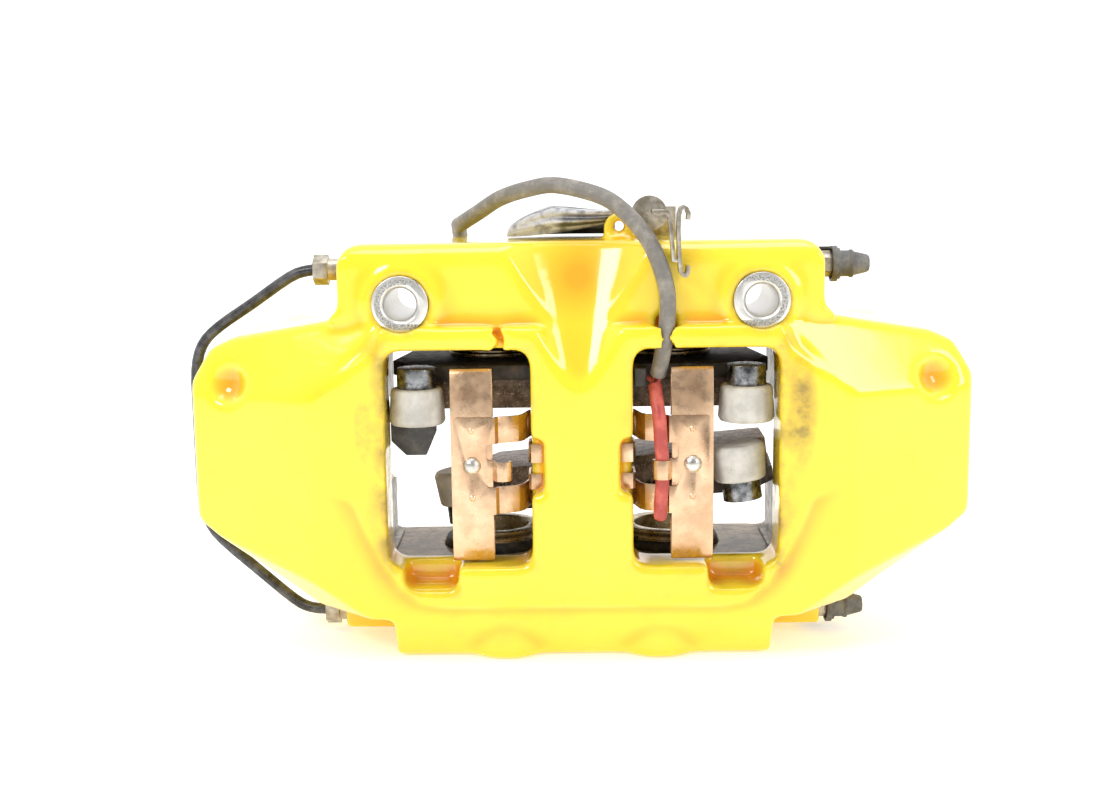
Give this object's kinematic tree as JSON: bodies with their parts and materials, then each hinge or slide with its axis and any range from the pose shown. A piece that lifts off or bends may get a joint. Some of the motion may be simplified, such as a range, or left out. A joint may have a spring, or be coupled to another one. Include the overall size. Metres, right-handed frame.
{
  "type": "brake caliper",
  "caption": "Fixed four-pot brake caliper for a vented disc, with pads, pad springs, damper masses, crossover pipe, bleed screws and pad-wear lead.",
  "frame": {"origin": "midway between the two mounting bolts, on the mounting face that meets the upright", "axes": "+X along the disc rim, towards the bleed screws; +Y towards the disc centre and out of the mounting face; +Z along the axle, towards the vehicle (inboard)"},
  "size_m": [0.3264, 0.1616, 0.1928],
  "materials": {
    "yellow_paint": "gloss yellow enamel on cast aluminium",
    "machined_steel": "zinc-plated, lightly tarnished",
    "piston_face": "anodised, tan",
    "rubber": "matt",
    "backplate_paint": "black, dusty",
    "friction_compound": "worn, speckled with metal",
    "plated_stud": "dark plating, chipped",
    "cast_mass": "as cast, pale grey",
    "stainless": "satin",
    "bronze_sheet": "satin, heat stained",
    "zinc_plate": "dull zinc",
    "pipe_coating": "satin black coating",
    "bracket_zinc": "dull zinc",
    "cable_sheath": "dusty matt sheath",
    "red_sleeve": "dull red",
    "sensor_plastic": "dark, dusty",
    "connector_plastic": "moulded",
    "black_film": "crinkled film"
  },
  "bodies": {
    "housing": {"caliper_body": "yellow_paint", "mount_bush_left": "machined_steel", "mount_bush_right": "machined_steel", "seal_inboard_left": "rubber", "seal_inboard_right": "rubber", "seal_outboard_left": "rubber", "seal_outboard_right": "rubber", "boot_inboard_left": "rubber", "boot_inboard_right": "rubber", "boot_outboard_left": "rubber", "boot_outboard_right": "rubber", "abutment_inboard_left": "stainless", "abutment_inboard_right": "stainless", "abutment_outboard_left": "stainless", "abutment_outboard_right": "stainless", "spring_band_left": "bronze_sheet", "spring_band_right": "bronze_sheet", "spring_clip_left": "bronze_sheet", "spring_clip_right": "bronze_sheet", "spring_rivet_left": "machined_steel", "spring_rivet_right": "machined_steel", "crossover_pipe": "pipe_coating", "pipe_nut_upper": "zinc_plate", "pipe_nut_lower": "zinc_plate", "lead_bracket": "bracket_zinc", "bracket_bolt": "bracket_zinc", "sensor_lead": "cable_sheath", "sensor_wire": "red_sleeve", "sensor_sleeve": "red_sleeve", "wear_sensor_right": "sensor_plastic", "lead_connector": "connector_plastic", "port_film": "black_film"},
    "inboard_left_piston": {"piston_inboard_left": "piston_face"},
    "inboard_right_piston": {"piston_inboard_right": "piston_face"},
    "outboard_left_piston": {"piston_outboard_left": "piston_face"},
    "outboard_right_piston": {"piston_outboard_right": "piston_face"},
    "inboard_pad": {"backplate_inboard": "backplate_paint", "friction_inboard": "friction_compound", "stud_inboard_left": "plated_stud", "stud_inboard_right": "plated_stud", "mass_inboard_left": "cast_mass", "mass_inboard_right": "cast_mass", "wear_sensor_left": "sensor_plastic"},
    "outboard_pad": {"backplate_outboard": "backplate_paint", "friction_outboard": "friction_compound", "stud_outboard_left": "plated_stud", "stud_outboard_right": "plated_stud", "mass_outboard_left": "cast_mass", "mass_outboard_right": "cast_mass"},
    "upper_bleed": {"bleed_screw_upper": "zinc_plate", "bleed_cap_upper": "rubber"},
    "lower_bleed": {"bleed_screw_lower": "zinc_plate", "bleed_cap_lower": "rubber"}
  },
  "joints": [
    {"name": "inboard_left_piston_slide", "type": "slide", "parent": "housing", "child": "inboard_left_piston", "axis": [0, 0, -1], "range_m": [-0.003, 0.003]},
    {"name": "inboard_right_piston_slide", "type": "slide", "parent": "housing", "child": "inboard_right_piston", "axis": [0, 0, -1], "range_m": [-0.003, 0.003]},
    {"name": "inboard_pad_slide", "type": "slide", "parent": "housing", "child": "inboard_pad", "axis": [0, 0, -1], "range_m": [-0.003, 0.003]},
    {"name": "outboard_left_piston_slide", "type": "slide", "parent": "housing", "child": "outboard_left_piston", "axis": [0, 0, 1], "range_m": [-0.003, 0.003]},
    {"name": "outboard_right_piston_slide", "type": "slide", "parent": "housing", "child": "outboard_right_piston", "axis": [0, 0, 1], "range_m": [-0.003, 0.003]},
    {"name": "outboard_pad_slide", "type": "slide", "parent": "housing", "child": "outboard_pad", "axis": [0, 0, 1], "range_m": [-0.003, 0.003]},
    {"name": "upper_bleed_turn", "type": "hinge", "parent": "housing", "child": "upper_bleed", "pos_m": [0.1, -0.008, 0.0107], "axis": [1, 0, 0], "range_deg": [0, 90]},
    {"name": "lower_bleed_turn", "type": "hinge", "parent": "housing", "child": "lower_bleed", "pos_m": [0.1, -0.008, -0.1352], "axis": [1, 0, 0], "range_deg": [0, 90]}
  ],
  "couplings": [
    {"joint": "inboard_left_piston_slide", "follows": "inboard_pad_slide", "ratio": 1},
    {"joint": "inboard_right_piston_slide", "follows": "inboard_pad_slide", "ratio": 1},
    {"joint": "outboard_left_piston_slide", "follows": "outboard_pad_slide", "ratio": 1},
    {"joint": "outboard_right_piston_slide", "follows": "outboard_pad_slide", "ratio": 1}
  ]
}
